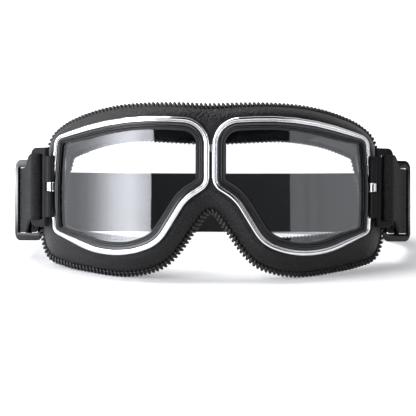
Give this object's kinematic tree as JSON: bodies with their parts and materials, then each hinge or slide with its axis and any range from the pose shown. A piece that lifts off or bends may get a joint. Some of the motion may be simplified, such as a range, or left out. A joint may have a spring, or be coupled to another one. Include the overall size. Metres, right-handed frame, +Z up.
{
  "type": "flying goggles",
  "caption": "Aviator goggles: curved clear lenses in chrome rims on a padded leather mask with a laced seam, hinged strap brackets, elastic strap and sliders.",
  "frame": {"origin": "on the level surface that the goggles rest on, under the middle of their overall box", "axes": "+X to the wearer's left, +Y from the lenses towards the wearer's face and the strap, +Z up; the mask leans back as it rests"},
  "size_m": [0.2106, 0.1618, 0.0899],
  "materials": {
    "chrome": "polished",
    "frame_black": "satin",
    "gasket_black": "matte",
    "lens_clear": "polished",
    "bracket_black": "satin",
    "slider_black": "gloss",
    "cover_leather": "grained satin",
    "lace_leather": "satin",
    "pad_foam": "soft",
    "lining_fabric": "brushed",
    "strap_elastic": "woven"
  },
  "bodies": {
    "mask": {"left_rim": "chrome", "left_lens_frame": "frame_black", "left_gasket": "gasket_black", "left_lens": "lens_clear", "left_back_frame": "frame_black", "left_hinge_knuckle": "chrome", "left_hinge_pin": "chrome", "right_rim": "chrome", "right_lens_frame": "frame_black", "right_gasket": "gasket_black", "right_lens": "lens_clear", "right_back_frame": "frame_black", "right_hinge_knuckle": "chrome", "right_hinge_pin": "chrome", "nose_link": "chrome", "leather_cover": "cover_leather", "face_pad": "pad_foam", "face_lining": "lining_fabric", "seam_lace": "lace_leather", "opening_trim": "lace_leather", "strap_band": "strap_elastic"},
    "left_bracket_body": {"left_bracket": "bracket_black", "left_strap_end": "strap_elastic"},
    "right_bracket_body": {"right_bracket": "bracket_black", "right_strap_end": "strap_elastic"},
    "left_slider_body": {"left_slider": "slider_black"},
    "right_slider_body": {"right_slider": "slider_black"}
  },
  "joints": [
    {"name": "left_bracket_hinge", "type": "hinge", "parent": "mask", "child": "left_bracket_body", "pos_m": [0.0832, -0.04624, 0.04405], "axis": [0, -0.1679, -0.9858], "range_deg": [-1, 28]},
    {"name": "left_slider_slide", "type": "slide", "parent": "left_bracket_body", "child": "left_slider_body", "axis": [0.225, 0.9605, -0.1636], "range_m": [0, 0.008]},
    {"name": "right_bracket_hinge", "type": "hinge", "parent": "mask", "child": "right_bracket_body", "pos_m": [-0.0832, -0.04624, 0.04405], "axis": [0, 0.1679, 0.9858], "range_deg": [-1, 28]},
    {"name": "right_slider_slide", "type": "slide", "parent": "right_bracket_body", "child": "right_slider_body", "axis": [-0.225, 0.9605, -0.1636], "range_m": [0, 0.008]}
  ]
}
